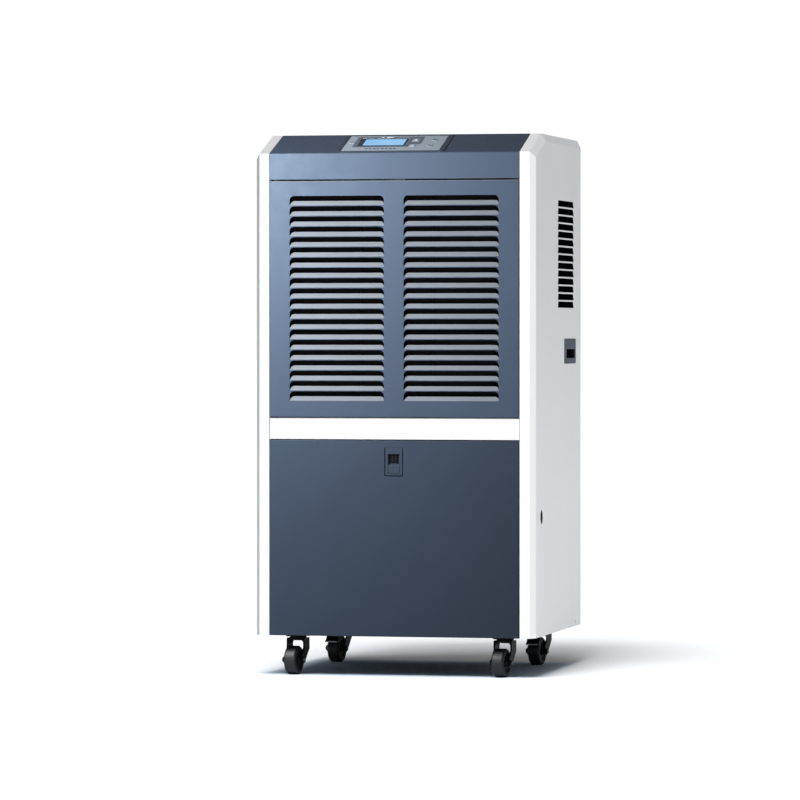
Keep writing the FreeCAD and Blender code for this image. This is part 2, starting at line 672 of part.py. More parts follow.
# ---- water tank, its handle and float ----
TANK_X, TANK_Z0, TANK_Z1, TANK_WALL = 172.0, 93.5, 296.0, 2.5
TANK_Y0, TANK_Y1 = 26.0, 232.0
PIVOT_Y, PIVOT_Z = 129, 280          # handle pivots
GRIP_Y, GRIP_Z = 222, 307            # handle crossbar
FLOAT_Y, FLOAT_Z = 215, 262          # float hinge


def water_tank():
    outline = (-TANK_X, TANK_X, TANK_Y0, TANK_Y1)
    floor_z = TANK_Z0 + TANK_WALL
    tank = fillet(plate(*outline, TANK_Z0, TANK_Z1, 18, Z_DIR), 6, at_z(TANK_Z0))
    cavity = plate(*grow(outline, -TANK_WALL), floor_z, TANK_Z1 + 5, 15.5, Z_DIR)
    # the tolerance is on the difference, as floor_z is exact
    cavity = fillet(cavity, 4, at_z(floor_z))
    rim = plate(*grow(outline, 2.5), TANK_Z1 - 3, TANK_Z1, 20, Z_DIR)
    pivots = [cyl(radius, length, (x, PIVOT_Y, PIVOT_Z), X_DIR) for radius, length, x in
              ((8, 4, TANK_X - 1), (4, 10.5, TANK_X), (8, 4, -TANK_X - 3),
               (4, 10.5, -TANK_X - 10.5))]
    tank = fuse([tank, rim] + pivots).cut(cavity)
    lugs = [box(x, x + 2.8, 210, TANK_Y1 - 1, 256, 268) for x in (-150, -122.8)]
    return fuse([tank] + lugs + [cyl(2, 30, (-150, FLOAT_Y, FLOAT_Z), X_DIR)])


def tank_handle():
    """Two arms rising to the rear, joined by a crossbar with a thicker grip."""
    run, rise = GRIP_Y - PIVOT_Y, GRIP_Z - PIVOT_Z
    length = math.hypot(run, rise)
    arms = []
    for side in SIDES:
        x0, x1 = span(side, 176.0, 180.5)
        arm = fuse([box(x0, x1, 0, length, -4.5, 4.5), cyl(8, 4.5, (x0, 0, 0), X_DIR),
                    cyl(4.5, 4.5, (x0, length, 0), X_DIR)])
        arm = arm.cut(cyl(4.08, 20, (x0 - 5, 0, 0), X_DIR))
        turn(arm, X_DIR, math.degrees(math.atan2(rise, run)))
        arm.translate(Vector(0, PIVOT_Y, PIVOT_Z))
        arms.append(arm)
    return fuse(arms + [cyl(3.8, 361, (-180.5, GRIP_Y, GRIP_Z), X_DIR),
                        cyl(7, 96, (-48, GRIP_Y, GRIP_Z), X_DIR)])


def float_arm():
    hub = cyl(4.6, 20, (-145, FLOAT_Y, FLOAT_Z), X_DIR)
    block = fillet(box(-158, -112, 118, 166, 236, 262), 5, lambda e: True)
    arm = fuse([hub, box(-138, -132, 160, 213, 257, 260), block])
    return arm.cut(cyl(2.08, 40, (-155, FLOAT_Y, FLOAT_Z), X_DIR))


emit("water_tank", water_tank())
emit("tank_handle", tank_handle())
emit("float_arm", float_arm())


# ---- drain: tray under the coils, sleeve in the side panel, hose between ----
def drip_tray():
    tray = box(-205, 205, 26, 152, SHELF_Z, 474).cut(box(-203.5, 203.5, 27.5, 150.5, 453, 480))
    tray = fuse([tray] + [cyl(7, 14, (x, y, 439)) for x, y in SPOUTS])
    for x, y in SPOUTS:
        tray = tray.cut(cyl(5.5, 30, (x, y, 430)))
    return tray


def drain_hose():
    def at_opening(radius, length, x):
        return cyl(radius, length, (x, HOSE_Y, HOSE_Z), X_DIR)
    sleeve = fuse([at_opening(16, 26.5, SIDE_X - 28), at_opening(20, 2, SIDE_X - SHEET - 2)])
    hose = tube([(*SPOUTS[0], 446), (*SPOUTS[0], 400), (196, 67, 380), (198, HOSE_Y, HOSE_Z),
                 (214, HOSE_Y, HOSE_Z)], 9, 12, bore=7.05)
    return sleeve.cut(at_opening(HOSE_R, 40, SIDE_X - 32)), hose


emit("drip_tray", drip_tray())
emit("drain_hose", *drain_hose())


# ---- evaporator and condenser ----
def coil(y):
    """Fins with end plates, and one serpentine tube with two open ends on the right."""
    bend_x = 196
    levels = [TUBE_Z0 + TUBE_PITCH * i for i in range(TUBE_COUNT)]
    fin = box(0, 0.8, y - 24, y + 24, 478, 838)
    end = box(0, 1.5, y - 24, y + 24, 453, 842)
    for z in levels:
        hole = cyl(TUBE_R + 0.1, 6, (-2, y, z), X_DIR)
        fin, end = fin.cut(hole), end.cut(hole)
    fins = []
    for source, x in [(fin, -187.9 + 7.5 * i) for i in range(51)] + [(end, -191.5), (end, 190)]:
        placed = source.copy()
        placed.translate(Vector(x, 0, 0))
        fins.append(placed)
    bars = []
    for z in levels:
        right_x = STUB_X if z in (levels[0], levels[-1]) else bend_x
        bars.append(cyl(TUBE_R, bend_x + right_x, (-bend_x, y, z), X_DIR))
    for i, z in enumerate(levels[:-1]):
        side = -1 if i % 2 == 0 else 1
        circle = Part.Circle(Vector(side * bend_x, y, z), Vector(*X_DIR), TUBE_R)
        section = Part.Face(Part.Wire([circle.toShape()]))
        bars.append(section.revolve(Vector(side * bend_x, y, z + TUBE_PITCH / 2),
                                    Vector(*Y_DIR), -side * 180))
    return fins, fuse(bars)


for name, y in (("evaporator", EVAP_Y), ("condenser", COND_Y)):
    fins, tubes = coil(y)
    emit(name + "_fins", *fins)
    emit(name + "_tubes", tubes)

# ---- compressor on three rubber mounts, and the pipework ----
COMP_X, COMP_Y = 90.0, 335.0
ACC_X, ACC_Y = -5, 330               # small cylinder beside the compressor
FEET = [(COMP_X + 80 * math.cos(a), COMP_Y + 80 * math.sin(a))
        for a in (math.pi / 2, math.radians(210), math.radians(330))]


def compressor():
    can = fillet(cyl(62, 205, (COMP_X, COMP_Y, 91)), 24, longer(300))
    foot = extrude([(COMP_X - 22, 428, 88), (COMP_X + 22, 428, 88), (178, 302, 88),
                    (160, 280, 88), (20, 280, 88), (2, 302, 88)], (0, 0, 3))
    ring = cyl(50, 16, (COMP_X, COMP_Y, 88))
    accumulator = fillet(cyl(24, 140, (ACC_X, ACC_Y, 130)), 10, longer(140))
    body = fuse([can, foot, ring, accumulator, cyl(20, 12, (COMP_X - 25, COMP_Y, 291)),
                 cyl(6, 40, (ACC_X, ACC_Y, 110)), cyl(6, 60, (ACC_X, ACC_Y, 112), X_DIR),
                 box(5, 40, 322, 338, 190, 204), cyl(5.5, 8, (COMP_X + 25, COMP_Y, 290)),
                 cyl(6, 10, (ACC_X, ACC_Y, 266))])
    for x, y in FEET:
        body = body.cut(cyl(7, 10, (x, y, 85)))
    return body


def mount(x, y):
    rubber = fuse([cyl(12.5, 16, (x, y, 71.5)), cyl(6.8, 6, (x, y, 86)),
                   cyl(11, 5, (x, y, 91.2))])
    return fillet(rubber, 1.2, at_z(96.2))


def refrigerant_pipes():
    """Compressor to condenser, evaporator to accumulator, and the line between the coils."""
    out_x, low, high = COMP_X + 25, 392, 418
    discharge = tube([(out_x, COMP_Y, 298), (out_x, COMP_Y, low), (out_x, 190, low),
                      (224, 190, low), (224, 190, TUBE_Z1), (224, COND_Y, TUBE_Z1),
                      (STUB_X, COND_Y, TUBE_Z1)], 4.2, 10)
    suction = tube([(STUB_X, EVAP_Y, TUBE_Z0), (222, EVAP_Y, TUBE_Z0), (222, EVAP_Y, high),
                    (204, 92, high), (204, 236, high), (ACC_X, 236, high),
                    (ACC_X, ACC_Y, high), (ACC_X, ACC_Y, 276)], 4.75, 10)
    drier = fillet(cyl(10.5, 84, (222, 138, 512)), 5, longer(60))
    liquid = tube([(STUB_X, COND_Y, TUBE_Z0), (222, COND_Y, TUBE_Z0), (222, 138, TUBE_Z0),
                   (222, 138, 514)], 3.2, 7)
    capillary = tube([(222, 138, 594), (222, 138, 640), (222, 85, 640), (222, 85, 845),
                      (222, EVAP_Y, 845), (222, EVAP_Y, TUBE_Z1),
                      (STUB_X, EVAP_Y, TUBE_Z1)], 2.2, 7)
    return discharge, suction, fuse([drier, liquid, capillary])


emit("compressor", compressor())
emit("compressor_mounts", *[mount(x, y) for x, y in FEET])
emit("refrigerant_pipes", *refrigerant_pipes())


# ---- fan ----
def fan_cyl(radius, length, y):
    return cyl(radius, length, (0, y, FAN_Z), Y_DIR)


def fan_shroud():
    flanges = [box(*span(side, 210.5, 212), 160, 175, SHELF_Z, 862) for side in (-1, 1)]
    shroud = fuse([box(-212, 212, 160, 161.5, SHELF_Z, 862), fan_cyl(150, 40, 160)] + flanges
                  + [box(-212, 212, 160, 180, SHELF_Z, SHELF_Z + SHEET)])
    return shroud.cut(fan_cyl(148, 60, 150))


def fan_impeller():
    """Modelled about Z, then turned so that its shaft points to the rear."""
    hub_r, front = 38, -14
    blades = []
    for i in range(5):
        blade = box(26, 142, -39, 39, -1.2, 1.2)
        turn(blade, X_DIR, 24)
        turn(blade, Z_DIR, 72 * i)
        blades.append(blade)
    fan = fuse([cyl(hub_r, 28, (0, 0, front))] + blades).common(cyl(143.0, 34, (0, 0, -17)))
    fan = fillet(fan, 4, lambda e: at_z(front)(e) and abs(e.Length - 2 * math.pi * hub_r) < 1)
    fan = fuse([fan, cyl(4.0, 34, (0, 0, 0))])
    turn(fan, X_DIR, -90)
    fan.translate(Vector(0, 182, FAN_Z))
    return fan


def fan_motor():
    motor = fillet(fan_cyl(44, 58, 206), 6, longer(200))
    return fuse([motor, fan_cyl(12, 6, 202)]).cut(fan_cyl(4.06, 30, 190))


def fan_motor_bracket():
    """Ring round the motor with four bent arms to the shroud."""
    arms = []
    for i in range(4):
        arm = fuse([box(46, 166, 226, 230, -7, 7), box(162, 166, 161.5, 230, -7, 7),
                    box(156, 172, 161.5, 163.5, -7, 7)])
        turn(arm, Y_DIR, 45 + 90 * i)
        arm.translate(Vector(0, 0, FAN_Z))
        arms.append(arm)
    return fuse([fan_cyl(49, 8, 224).cut(fan_cyl(44.02, 20, 220))] + arms)


def electric_box():
    """Open-topped box under the top cover, with a side bracket and parts inside."""
    case = box(-205, -70, 250, 400, 866, 926).cut(box(-203.5, -71.5, 251.5, 398.5, 867.5, 930))
    return fuse([case, box(-238, -203.5, 260, 390, 892, 893.5),
                 cyl(22, 100, (-180, 265, 891), Y_DIR), box(-150, -85, 262, 388, 867, 869.5),
                 box(-140, -118, 275, 300, 869, 890), box(-110, -90, 330, 370, 869, 895)])


emit("fan_shroud", fan_shroud())
emit("fan_impeller", fan_impeller())
emit("fan_motor", fan_motor())
emit("fan_motor_bracket", fan_motor_bracket())
emit("electric_box", electric_box())
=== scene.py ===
"""Upright cabinet on four casters, with a louvred front, a sloping control fascia and a drawer.

Metres, +Z up, floor at z = 0. The front faces -Y and the right side is +X.
"""
import math

import bmesh
import bpy
from mathutils import Matrix, Vector


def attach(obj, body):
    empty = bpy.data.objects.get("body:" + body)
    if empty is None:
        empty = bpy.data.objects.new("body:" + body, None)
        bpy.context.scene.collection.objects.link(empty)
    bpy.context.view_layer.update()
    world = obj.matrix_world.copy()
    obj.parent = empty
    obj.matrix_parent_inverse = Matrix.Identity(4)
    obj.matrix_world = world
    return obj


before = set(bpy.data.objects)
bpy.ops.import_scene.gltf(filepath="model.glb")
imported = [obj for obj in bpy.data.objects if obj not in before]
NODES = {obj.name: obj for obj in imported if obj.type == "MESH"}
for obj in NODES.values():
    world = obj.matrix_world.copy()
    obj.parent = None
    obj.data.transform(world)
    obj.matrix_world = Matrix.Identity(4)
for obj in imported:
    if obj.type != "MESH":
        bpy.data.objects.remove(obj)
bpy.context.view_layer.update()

SCENE = bpy.context.scene
COL = SCENE.collection
CORNERS = ("front_left", "front_right", "rear_left", "rear_right")


# ------------------------------------------------------------------ shader helpers
def srgb(hex_code):
    """Linear RGBA from a six-digit sRGB code."""
    channels = [int(hex_code[i:i + 2], 16) / 255 for i in (0, 2, 4)]
    linear = [c / 12.92 if c <= 0.04045 else ((c + 0.055) / 1.055) ** 2.4 for c in channels]
    return tuple(linear + [1.0])


def shade(color, by):
    return tuple(min(1, c * by) for c in color[:3]) + (1.0,)


class Tree:
    """A material with a Principled shader, and short calls for the nodes that feed it."""

    def __init__(self, name):
        self.material = bpy.data.materials.new(name)
        self.material.use_nodes = True
        self.tree = self.material.node_tree
        self.tree.nodes.clear()
        output = self.node("ShaderNodeOutputMaterial")
        self.shader = self.node("ShaderNodeBsdfPrincipled")
        self.feed(output.inputs[0], self.shader.outputs[0])
        self.position = self.node("ShaderNodeTexCoord").outputs["Object"]

    def node(self, kind, **settings):
        node = self.tree.nodes.new(kind)
        for key, value in settings.items():
            setattr(node, key, value)
        return node

    def feed(self, socket, value):
        """Link another socket, or set a plain value."""
        if isinstance(value, bpy.types.NodeSocket):
            self.tree.links.new(value, socket)
        else:
            socket.default_value = value

    def noise(self, scale, detail=3.0, roughness=0.5, stretch=None):
        node = self.node("ShaderNodeTexNoise")
        node.inputs["Scale"].default_value = scale
        node.inputs["Detail"].default_value = detail
        node.inputs["Roughness"].default_value = roughness
        source = self.position
        if stretch:
            mapping = self.node("ShaderNodeMapping")
            mapping.inputs["Scale"].default_value = stretch
            self.feed(mapping.inputs[0], source)
            source = mapping.outputs[0]
        self.feed(node.inputs["Vector"], source)
        return node.outputs["Fac"]

    def voronoi(self, scale, output="Distance"):
        node = self.node("ShaderNodeTexVoronoi")
        node.inputs["Scale"].default_value = scale
        self.feed(node.inputs["Vector"], self.position)
        return node.outputs[output]

    def ramp(self, factor, stops):
        node = self.node("ShaderNodeValToRGB")
        elements = node.color_ramp.elements
        while len(elements) > 1:
            elements.remove(elements[0])
        elements[0].position, elements[0].color = stops[0]
        for place, color in stops[1:]:
            elements.new(place).color = color
        self.feed(node.inputs[0], factor)
        return node.outputs[0]

    def calc(self, operation, *values):
        node = self.node("ShaderNodeMath", operation=operation)
        for socket, value in zip(node.inputs, values):
            self.feed(socket, value)
        return node.outputs[0]

    def sine(self, value, frequency):
        return self.calc("SINE", self.calc("MULTIPLY", value, frequency))

    def remap(self, value, between, to=(0.0, 1.0)):
        node = self.node("ShaderNodeMapRange")
        for socket, source in zip(node.inputs, (value, *between, *to)):
            self.feed(socket, source)
        return node.outputs[0]

    def mix(self, factor, a, b):
        node = self.node("ShaderNodeMix", data_type="RGBA")
        for index, value in ((0, factor), (6, a), (7, b)):
            self.feed(node.inputs[index], value)
        return node.outputs[2]

    def mottle(self, noise, base, spread):
        """Base colour drifting darker and lighter by the spread."""
        return self.mix(self.remap(noise, between=(0.3, 0.7)),
                        shade(base, by=1 - spread), shade(base, by=1 + spread))

    def xyz(self, vector):
        node = self.node("ShaderNodeSeparateXYZ")
        self.feed(node.inputs[0], vector)
        return node.outputs

    def geometry(self, output):
        return self.node("ShaderNodeNewGeometry").outputs[output]

    def bevel_normal(self, radius):
        node = self.node("ShaderNodeBevel", samples=4)
        node.inputs[0].default_value = radius
        return node.outputs[0]

    def edge(self, radius):
        """A mask, 0 on flat faces and 1 on edges, and the rounded normal."""
        rounded = self.bevel_normal(radius)
        dot = self.node("ShaderNodeVectorMath", operation="DOT_PRODUCT")
        self.feed(dot.inputs[0], rounded)
        self.feed(dot.inputs[1], self.geometry("Normal"))
        return self.remap(dot.outputs["Value"], between=(0.985, 0.80)), rounded

    def bump(self, height, strength, distance, normal=None):
        node = self.node("ShaderNodeBump")
        node.inputs["Strength"].default_value = strength
        node.inputs["Distance"].default_value = distance
        self.feed(node.inputs["Height"], height)
        if normal is not None:
            self.feed(node.inputs["Normal"], normal)
        return node.outputs[0]

    def finish(self, **inputs):
        """Feed the shader inputs, with _ for each space, and return the material."""
        for key, value in inputs.items():
            self.feed(self.shader.inputs[key.replace("_", " ")], value)
        return self.material


# ------------------------------------------------------------------ material families
def paint(name, base, rough, peel, wear, wear_color, var=0.05, specular=0.5,
          tint=(1, 1, 1, 1), painted_falloff=0.0, slope_highlight=None, painted_side_shade=None, rim=None, matt_top=False):
    """Powder-coated sheet: orange peel, slight mottling, rubbed edges and handling marks.

    The falloff darkens toward the lower right as painted shade, the slope colour is a painted
    highlight on upward-sloping faces, the side option paints shade on faces by their X normal, and
    rim (metres) is painted shade, a dark line at the sides and foot standing in for the shadow of
    a gap.
    """
    t = Tree(name)
    broad = t.noise(scale=5.0, detail=3.0, roughness=0.55)
    medium = t.noise(scale=38.0, detail=4.0, roughness=0.6)
    fine = t.noise(scale=2600.0, detail=2.0, roughness=0.6)
    color = t.mottle(broad, base, spread=var)
    speckle = t.remap(fine, between=(0.35, 0.65), to=(0.0, 0.10))
    color = t.mix(speckle, color, shade(base, by=1.18))
    edge, rounded = t.edge(radius=0.0009)
    # painted shade: the colour darkens toward the lower right, standing in for the key light
    # falling off across the panel
    if painted_falloff:
        axes = t.xyz(t.position)
        # height counts 0.45 as much as the distance to the right
        lower_right = t.calc("SUBTRACT", axes[0], t.calc("MULTIPLY", axes[2], 0.45))
        amount = t.remap(lower_right, between=(-0.42, 0.16), to=(0.0, painted_falloff))
        color = t.mix(amount, color, shade(base, by=0.25))
    if slope_highlight:
        # painted highlight: the upward-sloping louvre faces are painted a lighter grey than the
        # sheet around them, standing in for the light they catch
        slope = t.remap(t.xyz(t.geometry("Normal"))[2], between=(0.10, 0.58))
        lit_slope_color = t.mix(t.remap(medium, between=(0.35, 0.65)),
                        shade(slope_highlight, by=0.97), shade(slope_highlight, by=1.03))
        color = t.mix(slope, color, lit_slope_color)
    # painted shade: faces turned along X are darkened by their normal, standing in for that side
    # getting less light
    if painted_side_shade:
        sideways = t.xyz(t.geometry("True Normal"))[0]
        color = t.mix(t.remap(sideways, between=painted_side_shade["between"]), color,
                      shade(base, by=painted_side_shade["gain"]))
    patchy = t.remap(t.noise(scale=70.0, detail=5.0, roughness=0.7),
                     between=(0.42, 0.62), to=(0.15, 1.0))
    rubbed = t.calc("MULTIPLY", edge, patchy)
    color = t.mix(t.calc("MULTIPLY", rubbed, wear), color, wear_color)
    # edges are polished by 0.06
    roughness = t.calc("ADD", t.remap(medium, between=(0.3, 0.7), to=(rough - 0.05, rough + 0.05)),
                       t.calc("MULTIPLY", edge, -0.06))
    # orange peel: coarse ripples plus 0.35 of finer ones
    coarse_peel = t.noise(scale=520.0, detail=2.0, roughness=0.5)
    fine_peel = t.noise(scale=1500.0, detail=1.0, roughness=0.5)
    height = t.calc("ADD", coarse_peel, t.calc("MULTIPLY", fine_peel, 0.35))
    normal = t.bump(height, strength=peel, distance=0.0006, normal=rounded)
    # painted shade: a dark, barely specular line along the plate's sides and foot, standing in for
    # the shadow in the gap around it
    if rim:
        axes = t.xyz(t.position)
        past_side = t.calc("SUBTRACT", t.calc("ABSOLUTE", axes[0]), rim["half_width"])
        past_foot = t.calc("SUBTRACT", rim["foot"], axes[2])
        line = t.remap(t.calc("MAXIMUM", past_side, past_foot), between=(-0.0001, 0.0001))
        color = t.mix(line, color, shade(base, by=0.10))
        specular = t.remap(line, between=(0.0, 1.0), to=(specular, 0.02))
    if matt_top:
        # the flat top is coarser and scuffed, so it hardly shines
        upward = t.xyz(t.geometry("True Normal"))[2]
        specular = t.remap(upward, between=(0.955, 0.985), to=(specular, 0.03))
    return t.finish(Base_Color=color, Roughness=roughness, Normal=normal,
                    Specular_IOR_Level=specular, Coat_Roughness=0.25, Specular_Tint=tint)


def plastic(name, base, rough=0.5, grain=0.35, scale=1400.0, var=0.06, specular=0.45):
    """Moulded plastic with a spark-eroded grain and faint flow variation."""
    t = Tree(name)
    color = t.mottle(t.noise(scale=14.0, detail=3.0, roughness=0.5), base, spread=var)
    edge, rounded = t.edge(radius=0.0006)
    # edges take 0.35 of a paler shade
    color = t.mix(t.calc("MULTIPLY", edge, 0.35), color, shade(base, by=1.9))
    cells = t.voronoi(scale=scale)
    cloud = t.noise(scale=scale * 0.6, detail=3.0, roughness=0.6)
    roughness = t.remap(cloud, between=(0.3, 0.7), to=(rough - 0.06, rough + 0.07))
    normal = t.bump(t.calc("ADD", cells, cloud), strength=grain, distance=0.00025,
                    normal=rounded)
    return t.finish(Base_Color=color, Roughness=roughness, Normal=normal,
                    Specular_IOR_Level=specular)


def steel(name, base, rough, spangle):
    """Galvanised sheet with spangle patches, or drawn bright metal."""
    t = Tree(name)
    edge, rounded = t.edge(radius=0.0006)
    if spangle:
        cell = t.node("ShaderNodeSeparateColor")
        t.feed(cell.inputs[0], t.voronoi(scale=90.0, output="Color"))
        pattern = cell.outputs[0]
    else:
        pattern = t.noise(scale=60.0, detail=6.0, roughness=0.7, stretch=(1.0, 1.0, 30.0))
    color = t.mix(pattern, shade(base, by=0.82), shade(base, by=1.12))
    # edges take 0.4 of a brighter shade
    color = t.mix(t.calc("MULTIPLY", edge, 0.4), color, shade(base, by=1.5))
    roughness = t.remap(pattern, between=(0.0, 1.0), to=(rough - 0.07, rough + 0.10))
    normal = t.bump(t.noise(scale=900.0, detail=3.0, roughness=0.6),
                    strength=0.12, distance=0.0003, normal=rounded)
    return t.finish(Base_Color=color, Metallic=0.9, Roughness=roughness, Normal=normal)


def copper(name):
    """Drawn copper with tarnish patches."""
    t = Tree(name)
    rounded = t.bevel_normal(radius=0.0005)
    tarnish = t.noise(scale=55.0, detail=5.0, roughness=0.65)
    color = t.mix(t.remap(tarnish, between=(0.4, 0.7)), srgb("C8794F"), srgb("8A4A33"))
    roughness = t.remap(tarnish, between=(0.3, 0.7), to=(0.22, 0.45))
    normal = t.bump(t.noise(scale=700.0, detail=2.0),
                    strength=0.08, distance=0.0002, normal=rounded)
    return t.finish(Base_Color=color, Metallic=1.0, Roughness=roughness, Normal=normal)


def rubber(name, base, rough=0.7):
    """Dull rubber with paler patches and edges."""
    t = Tree(name)
    edge, rounded = t.edge(radius=0.0006)
    patches = t.noise(scale=45.0, detail=5.0, roughness=0.65)
    color = t.mix(t.remap(patches, between=(0.35, 0.7)), base, shade(base, by=1.7))
    # edges take half of a paler shade
    color = t.mix(t.calc("MULTIPLY", edge, 0.5), color, shade(base, by=2.2))
    roughness = t.remap(patches, between=(0.3, 0.7), to=(rough - 0.08, rough + 0.1))
    normal = t.bump(t.noise(scale=1100.0, detail=4.0, roughness=0.7),
                    strength=0.4, distance=0.0003, normal=rounded)
    return t.finish(Base_Color=color, Roughness=roughness, Normal=normal,
                    Specular_IOR_Level=0.35)


def woven(name, axes, frequency, colors, strength, distance, specular):
    """Crossed threads along two object axes; colours run from trough to crest."""
    t = Tree(name)
    position = t.xyz(t.position)
    first, second = [t.calc("ABSOLUTE", t.sine(position[axis], frequency)) for axis in axes]
    threads = t.calc("MAXIMUM", first, second)
    stops = [(place, (*color, 1)) for place, color in zip((0.0, 0.85, 1.0), colors)]
    return t.finish(Base_Color=t.ramp(threads, stops), Roughness=0.9,
                    Normal=t.bump(threads, strength=strength, distance=distance),
                    Specular_IOR_Level=specular)


def moulded_handle(name):
    """Moulded grip: mid grey rim, with painted shade taking it near black down in the pocket."""
    t = Tree(name)
    edge, rounded = t.edge(radius=0.0007)
    flow = t.noise(scale=22.0, detail=3.0)
    rim = t.mix(t.remap(flow, between=(0.3, 0.7)), srgb("474F5C"), srgb("515A68"))
    # edges take 0.6 of a darker grey: painted shade along the rim's borders
    rim = t.mix(t.calc("MULTIPLY", edge, 0.6), rim, srgb("20242C"))
    # painted shade: the colour goes near black toward the inside of the pocket
    from_middle = t.calc("ABSOLUTE", t.xyz(t.position)[0])
    pocket_shade = t.remap(from_middle, between=(0.2472, 0.2494), to=(1.0, 0.0))
    color = t.mix(pocket_shade, rim, (0.0012, 0.0012, 0.0018, 1))
    grain = t.noise(scale=1300.0, detail=3.0, roughness=0.6)
    return t.finish(Base_Color=color, Specular_IOR_Level=0.18,
                    Roughness=t.remap(grain, between=(0.3, 0.7), to=(0.45, 0.6)),
                    Normal=t.bump(grain, strength=0.3, distance=0.0003, normal=rounded))


def lit_display(name):
    """Back-lit panel with soft brightness patches and a fine cell grid."""
    t = Tree(name)
    glow = t.noise(scale=16.0, detail=2.0, roughness=0.4)
    grid = t.voronoi(scale=2400.0)
    color = t.mix(t.remap(glow, between=(0.35, 0.65)), srgb("7FB5E6"), srgb("93C6F2"))
    color = t.mix(t.remap(grid, between=(0.2, 0.6), to=(0.0, 0.08)), color, srgb("5E93C8"))
    return t.finish(Base_Color=shade(srgb("87BCEB"), by=0.18), Roughness=0.25,
                    Emission_Color=color, Emission_Strength=0.72,
                    Normal=t.bump(grid, strength=0.03, distance=0.0002))


def tank_plastic(name, tint, transmission):
    """Smooth moulding, milky or opaque."""
    t = Tree(name)
    rounded = t.bevel_normal(radius=0.0012)
    flow = t.noise(scale=30.0, detail=3.0)
    color = t.mix(t.remap(flow, between=(0.3, 0.7)), shade(tint, by=0.95), tint)
    normal = t.bump(t.noise(scale=900.0, detail=2.0),
                    strength=0.06, distance=0.0003, normal=rounded)
    return t.finish(Base_Color=color, Transmission_Weight=transmission, IOR=1.25,
                    Roughness=t.remap(flow, between=(0.3, 0.7), to=(0.24, 0.34)),
                    Subsurface_Weight=0.15, Subsurface_Scale=0.01, Normal=normal)


def fin_stock(name):
    """Thin metal fins, rippled across Y."""
    t = Tree(name)
    ripple = t.sine(t.xyz(t.position)[1], frequency=1200.0)
    color = t.mix(t.noise(scale=60.0, detail=4.0, roughness=0.6), srgb("AEB4B8"), srgb("DDE1E3"))
    return t.finish(Base_Color=color, Metallic=1.0, Roughness=0.34,
                    Normal=t.bump(ripple, strength=0.25, distance=0.0006))


def studio_floor(name):
    """Pale matt floor, with a painted blue shadow tint on the patch under the cabinet."""
    t = Tree(name)
    color = t.mix(t.noise(scale=1.5, detail=3.0), (0.90, 0.90, 0.905, 1), (0.93, 0.93, 0.93, 1))
    # painted shadow: the floor's colour turns blue under the cabinet, so the shadow there reads
    # cool
    place = t.xyz(t.geometry("Position"))
    under_x = t.remap(t.calc("ABSOLUTE", place[0]), between=(0.20, 0.27), to=(1.0, 0.0))
    under_y = t.remap(t.calc("ABSOLUTE", place[1]), between=(0.17, 0.24), to=(1.0, 0.0))
    color = t.mix(t.calc("MULTIPLY", under_x, under_y), color, (0.70, 0.84, 1.0, 1))
    return t.finish(Base_Color=color, Roughness=0.9, Specular_IOR_Level=0.0)


# ------------------------------------------------------------------ materials
SLATE = srgb("262F3E")
WHITE_COAT = dict(base=srgb("F5F5F5"), rough=0.38, peel=0.07, var=0.012,
                  wear=0.18, wear_color=srgb("DADCDD"))
SLATE_COAT = dict(peel=0.07, var=0.03, tint=(0.62, 0.78, 0.96, 1))
UPPER_SLATE = dict(base=SLATE, rough=0.50, specular=0.32, wear=0.22,
                   wear_color=srgb("8E9BB0"), **SLATE_COAT)
# the lower panels carry painted shade that darkens toward the lower right
LOWER_SLATE = dict(base=shade(SLATE, by=0.78), rough=0.54, specular=0.28, painted_falloff=0.66,
                   wear_color=srgb("76839A"), **SLATE_COAT)
FLAT_PRINT = dict(grain=0.10, scale=3000.0)
FASCIA_GREY = dict(rough=0.55, scale=2400.0, var=0.02, specular=0.15)

